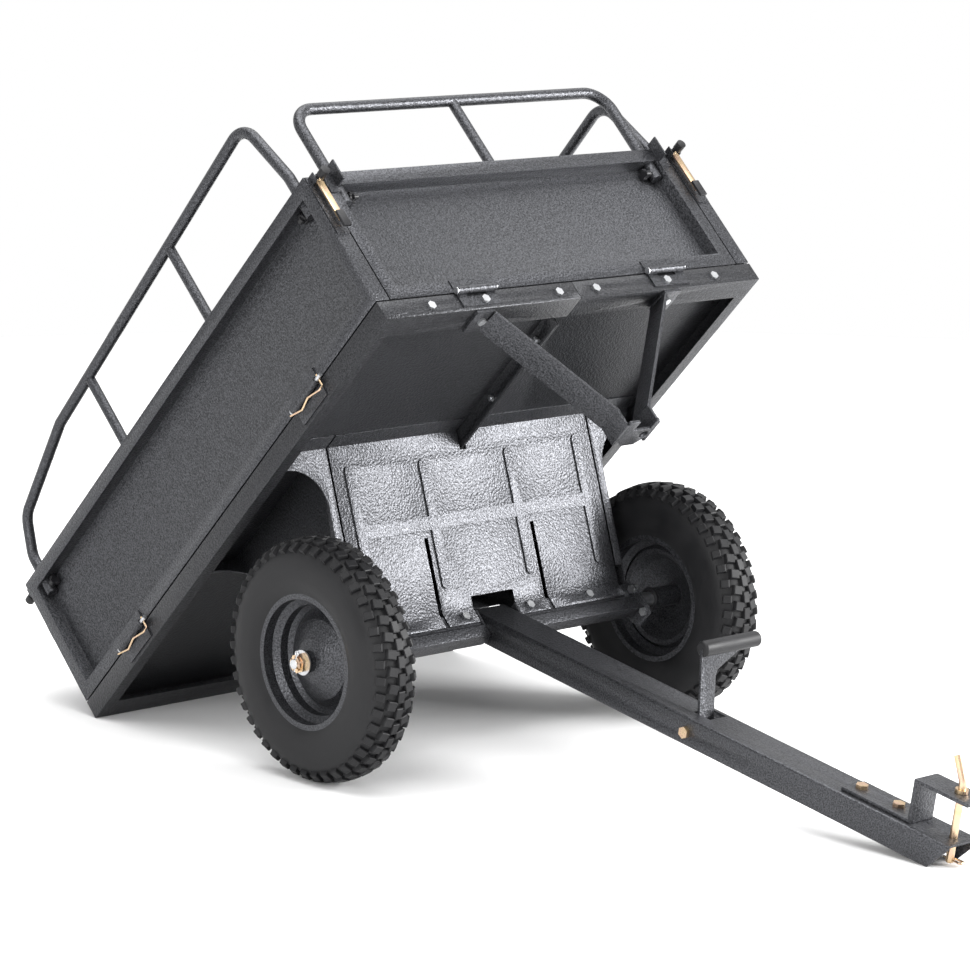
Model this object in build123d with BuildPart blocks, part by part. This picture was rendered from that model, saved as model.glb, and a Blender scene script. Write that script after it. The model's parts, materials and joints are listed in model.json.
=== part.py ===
"""Tipping tow-behind garden cart, standing in its dump position.

Every piece is drawn with the cart level and the centre of the axle at the origin:
+X towards the hitch, +Y to the cart's left, +Z up.  Each piece is then swung about
the axle to where it stands when the bed is tipped: the bed until its rear edge
touches the ground, and the drawbar until its nose does.
"""
from math import asin, atan2, cos, degrees, hypot, radians, sin
import os

from build123d import *

# ---------------------------------------------------------------- driving sizes, mm
tyre_radius = 195.0
tyre_width = 84.0
track = 756.0
rim_flange_radius = 118.0
bead_radius = 101.6
hub_length = 68.0

axle_radius = 8.0
running_gap = 0.05

bed_front = 523.0
bed_rear = -539.0
bed_width = 804.0
bed_height = 263.0
band_height = 33.0
sheet = 2.0
lip_width = 45.0
side_lip_width = 25.0

panel_gap = 3.0
panel_depth = 27.0
panel_rim = 24.0
side_panel_height = 244.0
end_panel_height = 250.0

drawbar_width = 71.0
drawbar_height = 45.0
drawbar_wall = 3.0
drawbar_rear = -32.0
drawbar_nose = 1007.0
nose_slant = 33.0
drawbar_top = 22.0

apron_half_width = 281.0
apron_top_x = 149.0
beam_half_width = 11.0
beam_top = 30.0
beam_bottom = -20.0
beam_inner_end = 41.0
side_plate_y = 300.0

rail_radius = 9.5
rail_bend = 42.0
hinge_offset = 7.0
knuckle_radius = 6.0
hinge_pin_radius = 3.5
hinge_length = 78.0

# ---------------------------------------------------------------- derived sizes
half_width = bed_width / 2
end_panel_half_width = half_width - panel_depth - 2.5
floor_under = bed_height + band_height - sheet
floor_top = bed_height + band_height
panel_bottom = floor_top + panel_gap
side_panel_top = panel_bottom + side_panel_height
end_panel_top = panel_bottom + end_panel_height
hinge_z = floor_top + panel_gap / 2
drawbar_bottom = drawbar_top - drawbar_height
nose_bottom_x = drawbar_nose - nose_slant

rear_reach = hypot(bed_rear, bed_height)
tip_angle = degrees(atan2(bed_height, -bed_rear) + asin(tyre_radius / rear_reach))
nose_reach = hypot(nose_bottom_x, drawbar_bottom)
nose_dip = degrees(asin(tyre_radius / nose_reach) - atan2(-drawbar_bottom, nose_bottom_x))

ON_GROUND = Location((0, 0, tyre_radius))
TIPPED = ON_GROUND * Location((0, 0, 0), (0, -tip_angle, 0))
DRAWN = ON_GROUND * Location((0, 0, 0), (0, nose_dip, 0))

kept = []


def keep(piece, label, pose):
    """Swing a finished piece into its place and put it on the list to write."""
    placed = piece.part.moved(pose)
    placed.label = label
    kept.append(placed)


# ---------------------------------------------------------------- drawing helpers
def block(x_span, y_span, z_span, mode=Mode.ADD):
    """A box given by its two limits along each axis."""
    size = [high - low for low, high in (x_span, y_span, z_span)]
    middle = [(high + low) / 2 for low, high in (x_span, y_span, z_span)]
    with Locations(tuple(middle)):
        Box(*size, mode=mode)


def rod(centre, along, radius, length, mode=Mode.ADD):
    """A round bar centred on a point."""
    with Locations(Plane(origin=centre, z_dir=along)):
        Cylinder(radius, length, mode=mode)


def wire(points, radius, bend):
    """A round wire or tube along straight runs joined by bends."""
    with BuildLine() as path:
        FilletPolyline(*points, radius=bend)
    start = path.line @ 0
    with BuildSketch(Plane(origin=start, z_dir=path.line % 0)) as section:
        Circle(radius)
    sweep(sections=section.sketch, path=path.line)


def hex_bolt(head_at, outward, thread, grip, across, nut=True):
    """A hexagon bolt: its head's seat is at head_at and the shank runs inward."""
    out = Vector(*outward).normalized()
    seat = Vector(*head_at)
    with BuildSketch(Plane(origin=seat, z_dir=out)) as head:
        RegularPolygon(across / 2, 6, major_radius=False)
    extrude(head.sketch, amount=thread * 1.2)
    tail = grip + (thread * 2.2 if nut else thread * 0.5)
    rod(tuple(seat - out * (tail / 2)), tuple(out), thread, tail)
    if nut:
        with BuildSketch(Plane(origin=seat - out * grip, z_dir=-out)) as far_nut:
            RegularPolygon(across / 2, 6, major_radius=False)
        extrude(far_nut.sketch, amount=thread * 1.6)


SIDES = {"right": -1, "left": 1}
ENDS = {"front": 1, "rear": -1}


# ---------------------------------------------------------------- wheels
def tyre(side):
    """Hollow pneumatic tyre on the rim's bead seats."""
    half = tyre_width / 2
    wall = 7.0
    with BuildPart() as piece:
        with BuildSketch(Plane.YZ):
            with BuildLine():
                Polyline((-26, bead_radius + 0.2), (-33.5, bead_radius + 0.2), (-33.5, 119))
                Spline((-33.5, 119), (-half, 150), (-34, tyre_radius - 11), tangents=[(-0.8, 1), (0.75, 1)])
                Polyline((-34, tyre_radius - 11), (-24, tyre_radius), (24, tyre_radius), (34, tyre_radius - 11))
                Spline((34, tyre_radius - 11), (half, 150), (33.5, 119), tangents=[(0.75, -1), (-0.8, -1)])
                Polyline((33.5, 119), (33.5, bead_radius + 0.2), (26, bead_radius + 0.2))
                Polyline((26, bead_radius + 0.2), (26, 121), (half - wall, 150), (26, tyre_radius - 16),
                         (-26, tyre_radius - 16), (wall - half, 150), (-26, 121), (-26, bead_radius + 0.2))
            make_face()
        revolve(axis=Axis.Y)
    keep(piece, f"tyre_{side}", wheel_pose(side))


def wheel_pose(side):
    return ON_GROUND * Location((0, SIDES[side] * track / 2, 0))


def rim(side):
    """Pressed steel rim: barrel with flanges and well, dished disc and hub tube."""
    out = SIDES[side]
    steel = 2.5
    seat, well = bead_radius, bead_radius - 11
    barrel = [(36, rim_flange_radius), (33.5, rim_flange_radius - 1), (33.5, seat), (20, seat), (12, well),
              (-12, well), (-20, seat), (-33.5, seat), (-33.5, rim_flange_radius - 1), (-36, rim_flange_radius)]
    lining = [(-36.5, rim_flange_radius - 4), (-36.5, seat - steel), (-19, seat - steel), (-11, well - steel),
              (11, well - steel), (19, seat - steel), (36.5, seat - steel), (36.5, rim_flange_radius - 4)]
    disc = [(-7, well - steel + 0.5), (-14, 82), (-12, 74), (2, 62), (16, 34), (22, 17),
            (25, 17), (19, 35), (5, 64), (-8, 76), (-10, 81), (-3, well - steel + 0.5)]
    with BuildPart() as piece:
        with BuildSketch(Plane.YZ):
            for outline in (barrel + lining, disc):
                with BuildLine():
                    Polyline(*[(out * y, r) for y, r in outline], close=True)
                make_face()
        revolve(axis=Axis.Y)
        rod((0, 0, 0), (0, 1, 0), 17.5, hub_length)
        rod((0, 0, 0), (0, 1, 0), 12.5, hub_length, mode=Mode.SUBTRACT)
    keep(piece, f"rim_{side}", wheel_pose(side))


def hub_bushes(side):
    """Two flanged plain bearings that turn on the axle."""
    with BuildPart() as piece:
        for end in (-1, 1):
            rod((0, end * (hub_length / 2 - 9), 0), (0, 1, 0), 12.45, 18)
            rod((0, end * (hub_length / 2 + 1.5), 0), (0, 1, 0), 19, 3)
        rod((0, 0, 0), (0, 1, 0), axle_radius + running_gap, hub_length + 20, mode=Mode.SUBTRACT)
    keep(piece, f"hub_bushes_{side}", wheel_pose(side))


for side in SIDES:
    tyre(side)
    rim(side)
    hub_bushes(side)

# ---------------------------------------------------------------- axle
bush_outer = track / 2 + hub_length / 2 + 3
bush_inner = track / 2 - hub_length / 2 - 3
washer_y = bush_outer + 0.3
nut_y = washer_y + 2.5
nut_height = 14.0
axle_half = nut_y + nut_height + 4

with BuildPart() as axle_rod:
    rod((0, 0, 0), (0, 1, 0), axle_radius, 2 * axle_half)
    chamfer(axle_rod.edges().filter_by(GeomType.CIRCLE), 1)
    for out in SIDES.values():
        rod((0, out * (nut_y + nut_height - 2), 0), (0, 0, 1), 1.8, 4 * axle_radius, mode=Mode.SUBTRACT)
keep(axle_rod, "axle_rod", DRAWN)

with BuildPart() as axle_spacers:
    for out in SIDES.values():
        low, high = side_plate_y + 0.5, bush_inner - 0.3
        rod((0, out * (low + high) / 2, 0), (0, 1, 0), axle_radius + 4, high - low)
    rod((0, 0, 0), (0, 1, 0), axle_radius, track, mode=Mode.SUBTRACT)
keep(axle_spacers, "axle_spacers", DRAWN)

with BuildPart() as wheel_washers:
    for out in SIDES.values():
        rod((0, out * (washer_y + 1.25), 0), (0, 1, 0), 20, 2.5)
    rod((0, 0, 0), (0, 1, 0), axle_radius, track * 2, mode=Mode.SUBTRACT)
keep(wheel_washers, "wheel_washers", DRAWN)

with BuildPart() as axle_nuts:
    for out in SIDES.values():
        with BuildSketch(Plane(origin=(0, out * nut_y, 0), z_dir=(0, out, 0))):
            RegularPolygon(14, 6, major_radius=False)
        extrude(amount=nut_height - 5)
        rod((0, out * (nut_y + nut_height - 2.5), 0), (0, 1, 0), 12, 5)
        for turn in (30, 90, 150):
            with Locations(Location((0, out * (nut_y + nut_height - 2), 0), (0, turn, 0))):
                Box(30, 4.2, 4, mode=Mode.SUBTRACT)
    rod((0, 0, 0), (0, 1, 0), axle_radius, track * 2, mode=Mode.SUBTRACT)
keep(axle_nuts, "axle_nuts", DRAWN)

with BuildPart() as split_pins:
    for out in SIDES.values():
        y = out * (nut_y + nut_height - 2)
        rod((0, y, 0), (0, 0, 1), 1.6, 26)
        with Locations(Location((0, y, 17.2), (90, 0, 0))):
            Torus(3.2, 1.4)
keep(split_pins, "split_pins", DRAWN)

# ---------------------------------------------------------------- drawbar and hitch
lever_x = 470.0
lever_slot = (lever_x - 12, lever_x + 24)
lever_plate = 5.0
lever_lean = -8.0
stem_span = (-8.0, 24.0)
hitch_pin_x = drawbar_nose - 21
hitch_pin_radius = 6.0
hitch_gap_top = 79.0
hitch_plate_thick = 6.0
hitch_bolt_x = (803.0, 877.0)
hitch_half_width = 25.0
lever_pivot_z = -3.0
half_bar = drawbar_width / 2

with BuildPart() as drawbar:
    with BuildSketch(Plane.XZ.offset(-half_bar)):
        with BuildLine():
            Polyline((drawbar_rear, drawbar_top), (drawbar_nose, drawbar_top), (drawbar_nose, drawbar_top - 6),
                     (nose_bottom_x, drawbar_bottom), (drawbar_rear + 14, drawbar_bottom),
                     (drawbar_rear, drawbar_bottom + 14), close=True)
        make_face()
    extrude(amount=drawbar_width)
    long_edges = drawbar.edges().filter_by(Axis.X).group_by(Axis.Z)[-1]
    fillet(long_edges, 4)
    block((drawbar_rear - 5, drawbar_nose + 5), (drawbar_wall - half_bar, half_bar - drawbar_wall),
          (drawbar_bottom - 5, drawbar_top - drawbar_wall), mode=Mode.SUBTRACT)
    rod((0, 0, 0), (0, 1, 0), axle_radius + running_gap, 2 * drawbar_width, mode=Mode.SUBTRACT)
    rod((lever_x, 0, lever_pivot_z), (0, 1, 0), 5.1, 2 * drawbar_width, mode=Mode.SUBTRACT)
    block(lever_slot, (stem_span[0] - 2, stem_span[1] + 2), (0, 2 * drawbar_top), mode=Mode.SUBTRACT)
    for x in hitch_bolt_x:
        rod((x, 0, drawbar_top), (0, 0, 1), 5.1, 20, mode=Mode.SUBTRACT)
    rod((hitch_pin_x, 0, drawbar_top), (0, 0, 1), hitch_pin_radius + 0.5, 20, mode=Mode.SUBTRACT)
keep(drawbar, "drawbar", DRAWN)

with BuildPart() as hitch_plate:
    rise = drawbar_top + hitch_gap_top - 15
    riser_x = hitch_bolt_x[1] + 40
    with BuildSketch(Plane.XZ.offset(-hitch_half_width)):
        with BuildLine():
            FilletPolyline((hitch_bolt_x[0] - 18, drawbar_top), (riser_x + hitch_plate_thick, drawbar_top),
                           (riser_x + hitch_plate_thick, rise), (drawbar_nose + 14, rise),
                           (drawbar_nose + 14, rise + hitch_plate_thick), (riser_x, rise + hitch_plate_thick),
                           (riser_x, drawbar_top + hitch_plate_thick),
                           (hitch_bolt_x[0] - 18, drawbar_top + hitch_plate_thick), close=True, radius=1.5)
        make_face()
    extrude(amount=2 * hitch_half_width)
    for x in hitch_bolt_x:
        rod((x, 0, drawbar_top), (0, 0, 1), 5.1, 30, mode=Mode.SUBTRACT)
    rod((hitch_pin_x, 0, rise), (0, 0, 1), hitch_pin_radius + 0.5, 30, mode=Mode.SUBTRACT)
keep(hitch_plate, "hitch_plate", DRAWN)

with BuildPart() as hitch_bolts:
    for x in hitch_bolt_x:
        hex_bolt((x, 0, drawbar_top + hitch_plate_thick), (0, 0, 1), 5, hitch_plate_thick + drawbar_wall, 17)
keep(hitch_bolts, "hitch_bolts", DRAWN)

pin_top = rise + hitch_plate_thick
pin_low = -16.0
clip_z = -12.0
with BuildPart() as hitch_pin:
    wire([(hitch_pin_x, 0, pin_low), (hitch_pin_x, 0, pin_top + 16), (hitch_pin_x - 18, 0, pin_top + 52)],
         hitch_pin_radius, 16)
    rod((hitch_pin_x, 0, pin_top + 3.2), (0, 0, 1), hitch_pin_radius + 4, 6)
    rod((hitch_pin_x, 0, clip_z), (1, 0, 0), 1.8, 30, mode=Mode.SUBTRACT)
keep(hitch_pin, "hitch_pin", DRAWN)

with BuildPart() as hitch_clip:
    clip_route = [(-12, 0), (20, 0), (20, 9.5), (2, 8.6), (-12, 11)]
    wire([(hitch_pin_x + ahead, out, clip_z) for ahead, out in clip_route], 1.6, 4)
keep(hitch_clip, "hitch_clip", DRAWN)

with BuildPart() as lever_pivot_bolt:
    hex_bolt((lever_x, -half_bar, lever_pivot_z), (0, -1, 0), 5, drawbar_width, 17)
keep(lever_pivot_bolt, "lever_pivot_bolt", DRAWN)

# ---------------------------------------------------------------- release lever
grip_z = 124.0
grip_span = (-7.0, 115.0)
grip_radius = 12.5
lever_half = 11.0
tube_radius = 7.0
LEANING = (DRAWN * Location((lever_x, 0, lever_pivot_z), (0, lever_lean, 0))
           * Location((-lever_x, 0, -lever_pivot_z)))


def handle_tube(mode):
    rod((lever_x, sum(grip_span) / 2 - 2, grip_z), (0, 1, 0), tube_radius, grip_span[1] - grip_span[0] - 10,
        mode=mode)


with BuildPart() as release_lever:
    near, far = stem_span
    gusset_end = far + 50
    with BuildSketch(Plane.YZ.offset(lever_x - lever_plate / 2)):
        with BuildLine():
            Polyline((near, lever_pivot_z - 8), (far, lever_pivot_z - 8), (far, 78), (far + 4, 88),
                     (gusset_end, grip_z - 12), (gusset_end, grip_z), (near, grip_z), close=True)
        make_face()
    extrude(amount=lever_plate)
    rod((lever_x, 0, lever_pivot_z), (0, 1, 0), 9, 2 * lever_half)
    rod((lever_x, 0, lever_pivot_z), (0, 1, 0), 5 + running_gap, 60, mode=Mode.SUBTRACT)
    handle_tube(Mode.ADD)
keep(release_lever, "release_lever", LEANING)

with BuildPart() as lever_grip:
    rod((lever_x, sum(grip_span) / 2, grip_z), (0, 1, 0), grip_radius, grip_span[1] - grip_span[0])
    fillet(lever_grip.edges().filter_by(GeomType.CIRCLE), 4)
    handle_tube(Mode.SUBTRACT)
    block((lever_x - lever_plate / 2, lever_x + lever_plate / 2), (stem_span[0], gusset_end),
          (grip_z - 20, grip_z), mode=Mode.SUBTRACT)
keep(lever_grip, "lever_grip", LEANING)

with BuildPart() as lever_spring:
    turns, wire_radius, coil_radius = 5, 1.2, 11.5
    with BuildSketch(Plane(origin=(lever_x, 0, lever_pivot_z), x_dir=(0, 1, 0), z_dir=(1, 0, 0))):
        for turn in range(turns):
            with Locations((-lever_half - 2.4 - turn * 2.2, coil_radius)):
                Circle(wire_radius)
    revolve(axis=Axis((lever_x, 0, lever_pivot_z), (0, 1, 0)))
keep(lever_spring, "lever_spring", DRAWN)

# ---------------------------------------------------------------- floor of the bed
seam_depth = 27.0
seam_x = (-452.0, 452.0)
leaf_bolt_y = 196.0
leaf_thick = 2.5
band_bolt_y = (40.0, leaf_bolt_y, 305.0)
arm_foot_y = 200.0
arm_foot_x = bed_front - 24


def floor_pan(side):
    """One half of the floor: a sheet folded down round its edge and in again below."""
    out = SIDES[side]

    def across(near, far):
        return tuple(sorted((out * near, out * far)))

    with BuildPart() as piece:
        block((bed_rear, bed_front), across(0.5, half_width), (bed_height, floor_top))
        block((bed_rear + sheet, bed_front - sheet), across(-1, half_width - sheet),
              (bed_height + sheet, floor_under), mode=Mode.SUBTRACT)
        block((bed_rear + lip_width, bed_front - lip_width), across(-1, half_width - side_lip_width),
              (bed_height - 1, bed_height + sheet + 1), mode=Mode.SUBTRACT)
        block(seam_x, across(0.5, 0.5 + sheet), (floor_under - seam_depth, floor_under))
        for y in band_bolt_y:
            for x in (bed_front, bed_rear):
                rod((x, out * y, bed_height + 15), (1, 0, 0), 4.1, 20, mode=Mode.SUBTRACT)
        rod((arm_foot_x, out * arm_foot_y, bed_height), (0, 0, 1), 4.1, 20, mode=Mode.SUBTRACT)
        for x in seam_bolt_x:
            rod((x, 0, floor_under - 15), (0, 1, 0), 3.1, 20, mode=Mode.SUBTRACT)
    keep(piece, f"floor_pan_{side}", TIPPED)


seam_bolt_x = (-400.0, -250.0, 0.0, 250.0, 400.0)
for side in SIDES:
    floor_pan(side)

# ---------------------------------------------------------------- undercarriage
apron_low = (beam_half_width + sheet, beam_top + 4)
apron_high = (apron_top_x, floor_under)
apron_run = apron_high[0] - apron_low[0]
apron_rise = apron_high[1] - apron_low[1]
apron_slope = hypot(apron_run, apron_rise)
flange_reach = 31.0
slit_y, slit_top, slit_width = 116.0, 145.0, 8.0
cutout_half, cutout_top = 46.0, 52.0
wing_reach = 385.0
arch_radius = 70.0


def apron_plane(end):
    """The sloping face of an apron, seen from outside: across, then up the slope."""
    out = ENDS[end]
    normal = Vector(out * apron_rise, 0, -apron_run)
    return Plane(origin=(out * apron_low[0], 0, apron_low[1]), x_dir=(0, out, 0), z_dir=normal)


def up_slope(z):
    """How far up the slope a height lies."""
    return (z - apron_low[1]) * apron_slope / apron_rise


def apron(end):
    """Embossed sloping panel between the axle beam and the floor."""
    out = ENDS[end]
    face = apron_plane(end)

    def forward(near, far):
        return tuple(sorted((out * near, out * far)))

    with BuildPart() as piece:
        with BuildSketch(face):
            with Locations((0, apron_slope / 2)):
                Rectangle(2 * apron_half_width, apron_slope)
        extrude(amount=-sheet)
        with BuildSketch(face):
            with Locations((0, up_slope(165))):
                SlotOverall(500, 22)
            for y in (-248, 248):
                with Locations((y, up_slope(165))):
                    SlotOverall(220, 18, rotation=90)
            for y in (-93, 93):
                with Locations((y, up_slope(163))):
                    SlotOverall(214, 18, rotation=90)
        extrude(amount=3)
        block(forward(apron_top_x - 3, apron_top_x + flange_reach), (-apron_half_width, apron_half_width),
              (floor_under - sheet, floor_under))
        block(forward(beam_half_width, beam_half_width + sheet), (-apron_half_width, apron_half_width),
              (8, apron_low[1] + 1))
        block(forward(0, apron_top_x + flange_reach + 1), (-apron_half_width - 1, apron_half_width + 1),
              (floor_under, floor_under + 20), mode=Mode.SUBTRACT)
        for y in (-slit_y, slit_y):
            block(forward(0, 90), (y - slit_width / 2, y + slit_width / 2), (0, slit_top), mode=Mode.SUBTRACT)
        block(forward(0, 60), (-cutout_half, cutout_half), (0, cutout_top), mode=Mode.SUBTRACT)
        block(forward(60, 300), (-7, 7), (floor_under - seam_depth - 3, floor_top), mode=Mode.SUBTRACT)
        for y in beam_bolt_y:
            for hand in (-1, 1):
                rod((out * beam_half_width, hand * y, 21), (1, 0, 0), 4.1, 12, mode=Mode.SUBTRACT)
    keep(piece, f"apron_{end}", TIPPED)


beam_bolt_y = (71.0, 205.0)
for end in ENDS:
    apron(end)

with BuildPart() as axle_beam:
    wall = 2.4
    step = 3.0
    inner = beam_half_width - wall
    with BuildSketch(Plane.XZ.offset(-side_plate_y + sheet)):
        with BuildLine():
            Polyline((beam_half_width, beam_top), (beam_half_width, 3), (beam_half_width + step, 0),
                     (beam_half_width + step, beam_bottom), (-beam_half_width - step, beam_bottom),
                     (-beam_half_width - step, 0), (-beam_half_width, 3), (-beam_half_width, beam_top),
                     (-inner, beam_top), (-inner, 2), (-inner - step, -1), (-inner - step, beam_bottom + wall),
                     (inner + step, beam_bottom + wall), (inner + step, -1), (inner, 2), (inner, beam_top),
                     close=True)
        make_face()
    extrude(amount=2 * (side_plate_y - sheet))
    for hand in (-1, 1):
        y = hand * (beam_inner_end + 2)
        block((-beam_half_width - step, beam_half_width + step), (y - 2, y + 2), (beam_bottom, beam_top))
    block((-40, 40), (-beam_inner_end, beam_inner_end), (-40, 40), mode=Mode.SUBTRACT)
    rod((0, 0, 0), (0, 1, 0), axle_radius + running_gap, 2 * side_plate_y, mode=Mode.SUBTRACT)
    for y in beam_bolt_y:
        for hand in (-1, 1):
            rod((0, hand * y, 21), (1, 0, 0), 4.1, 40, mode=Mode.SUBTRACT)
keep(axle_beam, "axle_beam", TIPPED)


def side_plate(side):
    """End of the undercarriage: a flat plate round the axle with arched wings."""
    out = SIDES[side]
    inner_y = side_plate_y - sheet

    def across(near, far):
        return tuple(sorted((out * near, out * far)))

    with BuildPart() as piece:
        with BuildSketch(Plane.XZ.offset(-out * inner_y)):
            with BuildLine():
                Polyline((-apron_top_x, floor_under), (-apron_low[0], apron_low[1]), (-24, 20), (-24, -26),
                         (-10, -42), (26, -42), (30, -30), (24, 20), (apron_low[0], apron_low[1]),
                         (apron_top_x, floor_under), close=True)
            make_face()
        extrude(amount=-out * sheet)
        for end, forward in ENDS.items():
            hand = out * forward
            with BuildSketch(apron_plane(end)):
                with BuildLine():
                    base, arch_low = up_slope(60), up_slope(206)
                    low = hand * (side_plate_y + arch_radius)
                    Line((hand * (apron_half_width + 4), base), (hand * side_plate_y, base))
                    Line((hand * side_plate_y, base), (hand * side_plate_y, arch_low))
                    RadiusArc((hand * side_plate_y, arch_low), (low, arch_low + arch_radius),
                              hand * arch_radius)
                    Line((low, arch_low + arch_radius), (hand * wing_reach, apron_slope))
                    Line((hand * wing_reach, apron_slope), (hand * (apron_half_width + 4), apron_slope))
                    Line((hand * (apron_half_width + 4), apron_slope), (hand * (apron_half_width + 4), base))
                make_face()
            extrude(amount=-sheet)
            ahead = tuple(sorted((forward * (apron_top_x - 3), forward * (apron_top_x + flange_reach))))
            block(ahead, across(apron_half_width + 4, wing_reach), (floor_under - sheet, floor_under))
        block((-300, 300), across(0, 600), (floor_under, floor_under + 30), mode=Mode.SUBTRACT)
        rod((0, out * side_plate_y, 0), (0, 1, 0), axle_radius + running_gap, 20, mode=Mode.SUBTRACT)
        for x, z in plate_bolts:
            rod((x, out * side_plate_y, z), (0, 1, 0), 4.1, 20, mode=Mode.SUBTRACT)
    keep(piece, f"side_plate_{side}", TIPPED)


plate_bolts = ((18.0, 14.0), (14.0, -30.0))
for side in SIDES:
    side_plate(side)

# ---------------------------------------------------------------- latch leg under the bed
shoe_x = 471.0
shoe_length = 60.0
shoe_half = 31.0
shoe_bottom = drawbar_top + 11.0
shoe_top = 90.0
arm_width = 48.0
arm_thick = 5.0
arm_top_x = arm_foot_x - 2


def latch_arm(side):
    """Flat strap from the front lip down to the latch shoe, leaning back a little."""
    out = SIDES[side]
    knee = Vector(arm_top_x, out * (arm_foot_y - 14), bed_height - arm_thick)
    ankle = Vector(shoe_x, out * (shoe_half + arm_thick / 2), shoe_top - 24)
    run = ankle - knee
    with BuildPart() as piece:
        with Locations(Plane(origin=(knee + ankle) / 2, x_dir=run, z_dir=run.cross(Vector(1, 0, 0)))):
            Box(run.length, arm_width, arm_thick)
        foot = sorted((out * (arm_foot_y - 16), out * (arm_foot_y + 20)))
        block((arm_top_x - arm_width / 2, arm_top_x + arm_width / 2), foot,
              (bed_height - arm_thick, bed_height))
        ankle_y = sorted((out * shoe_half, out * (shoe_half + arm_thick)))
        block((shoe_x - arm_width / 2, shoe_x + arm_width / 2), ankle_y, (shoe_bottom, ankle.Z + 2))
        block((0, 2 * bed_front), (-600, 600), (bed_height, bed_height + 20), mode=Mode.SUBTRACT)
        rod((arm_foot_x, out * arm_foot_y, bed_height), (0, 0, 1), 4.1, 30, mode=Mode.SUBTRACT)
    keep(piece, f"latch_arm_{side}", TIPPED)


for side in SIDES:
    latch_arm(side)

with BuildPart() as latch_shoe:
    shoe_rear, shoe_front = shoe_x - shoe_length / 2, shoe_x + shoe_length / 2
    arm_rear = shoe_x - arm_width / 2
    block((shoe_rear, shoe_front), (-shoe_half, shoe_half), (shoe_bottom, shoe_bottom + arm_thick))
    block((arm_rear, arm_rear + arm_thick), (-shoe_half, shoe_half), (shoe_bottom, shoe_top - 26))
    block((shoe_x + 8, shoe_front + 1), (stem_span[0] - 2.5, stem_span[1] + 2.5),
          (shoe_bottom - 1, shoe_bottom + 30), mode=Mode.SUBTRACT)
    rod((shoe_x - 6, 20, shoe_bottom), (0, 0, 1), 8, 20, mode=Mode.SUBTRACT)
    for hand in (-1, 1):
        corner = Vector(shoe_rear, hand * shoe_half, shoe_bottom)
        with Locations(Location(tuple(corner), (0, 0, 45))):
            Box(24, 24, 30, mode=Mode.SUBTRACT)
keep(latch_shoe, "latch_shoe", TIPPED)

with BuildPart() as bed_bolts:
    for out in SIDES.values():
        for y in band_bolt_y:
            lift = leaf_thick if y == leaf_bolt_y else 0
            hex_bolt((bed_front + lift, out * y, bed_height + 15), (1, 0, 0), 4, sheet + lift, 13)
            hex_bolt((bed_rear - lift, out * y, bed_height + 15), (-1, 0, 0), 4, sheet + lift, 13)
        hex_bolt((arm_foot_x, out * arm_foot_y, bed_height - arm_thick), (0, 0, -1), 4, arm_thick + sheet, 13)
        for y in beam_bolt_y:
            for forward in ENDS.values():
                hex_bolt((forward * (beam_half_width + sheet), out * y, 21), (forward, 0, 0), 4,
                         sheet + wall, 13, nut=False)
        for x, z in plate_bolts:
            hex_bolt((x, out * (side_plate_y - sheet), z), (0, -out, 0), 4, sheet, 13)
    for x in seam_bolt_x:
        hex_bolt((x, 0.5 + sheet, floor_under - 15), (0, 1, 0), 3, 2 * sheet + 1, 10)
keep(bed_bolts, "bed_bolts", TIPPED)

# ---------------------------------------------------------------- folding panels
FACES = {"right": half_width, "left": half_width, "front": bed_front, "rear": -bed_rear}
pivot_depth = panel_depth / 2


def spot(facing, along, depth, z):
    """A point given along a panel, outward from the middle of the cart, and up."""
    if facing in SIDES:
        return (along, SIDES[facing] * depth, z)
    return (ENDS[facing] * depth, along, z)


def slab(facing, along, depth, z, mode=Mode.ADD):
    """A box given by its limits along a panel, outward and up."""
    low = spot(facing, along[0], depth[0], z[0])
    high = spot(facing, along[1], depth[1], z[1])
    spans = [tuple(sorted(pair)) for pair in zip(low, high)]
    block(*spans, mode=mode)


def lengthwise(facing):
    return (1, 0, 0) if facing in SIDES else (0, 1, 0)


side_leg_x = (bed_front - 38, bed_rear + 39)
end_leg_out = end_panel_half_width - 37.5
end_leg_y = (-end_leg_out, end_leg_out)
leg_low = bed_height + 232.0
LEGS = {"right": side_leg_x, "left": side_leg_x, "front": end_leg_y, "rear": ()}
SPANS = {"right": (bed_rear, bed_front), "left": (bed_rear, bed_front),
         "front": (-end_panel_half_width, end_panel_half_width),
         "rear": (-end_panel_half_width, end_panel_half_width)}
TOPS = {"right": side_panel_top, "left": side_panel_top, "front": end_panel_top, "rear": end_panel_top}


def panel(facing):
    """Sheet folded out into a shallow tray with a channel rim that is open behind."""
    face, (start, stop), top = FACES[facing], SPANS[facing], TOPS[facing]
    back = face - panel_depth
    inner = panel_rim - sheet
    with BuildPart() as piece:
        slab(facing, (start, stop), (back, face), (panel_bottom, top))
        slab(facing, (start + panel_rim, stop - panel_rim), (back + sheet, face + 1),
             (panel_bottom + panel_rim, top - panel_rim), mode=Mode.SUBTRACT)
        grooves = [((start + sheet, start + inner), (panel_bottom + sheet, top - sheet)),
                   ((stop - inner, stop - sheet), (panel_bottom + sheet, top - sheet)),
                   ((start + sheet, stop - sheet), (panel_bottom + sheet, panel_bottom + inner)),
                   ((start + sheet, stop - sheet), (top - inner, top - sheet))]
        for along, z in grooves:
            slab(facing, along, (back - 1, face - sheet), z, mode=Mode.SUBTRACT)
        for leg in LEGS[facing]:
            rod(spot(facing, leg, face - pivot_depth, top - 12), (0, 0, 1), rail_radius + 0.3, 40,
                mode=Mode.SUBTRACT)
    keep(piece, f"{facing}_panel", TIPPED)


for facing in FACES:
    panel(facing)

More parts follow.
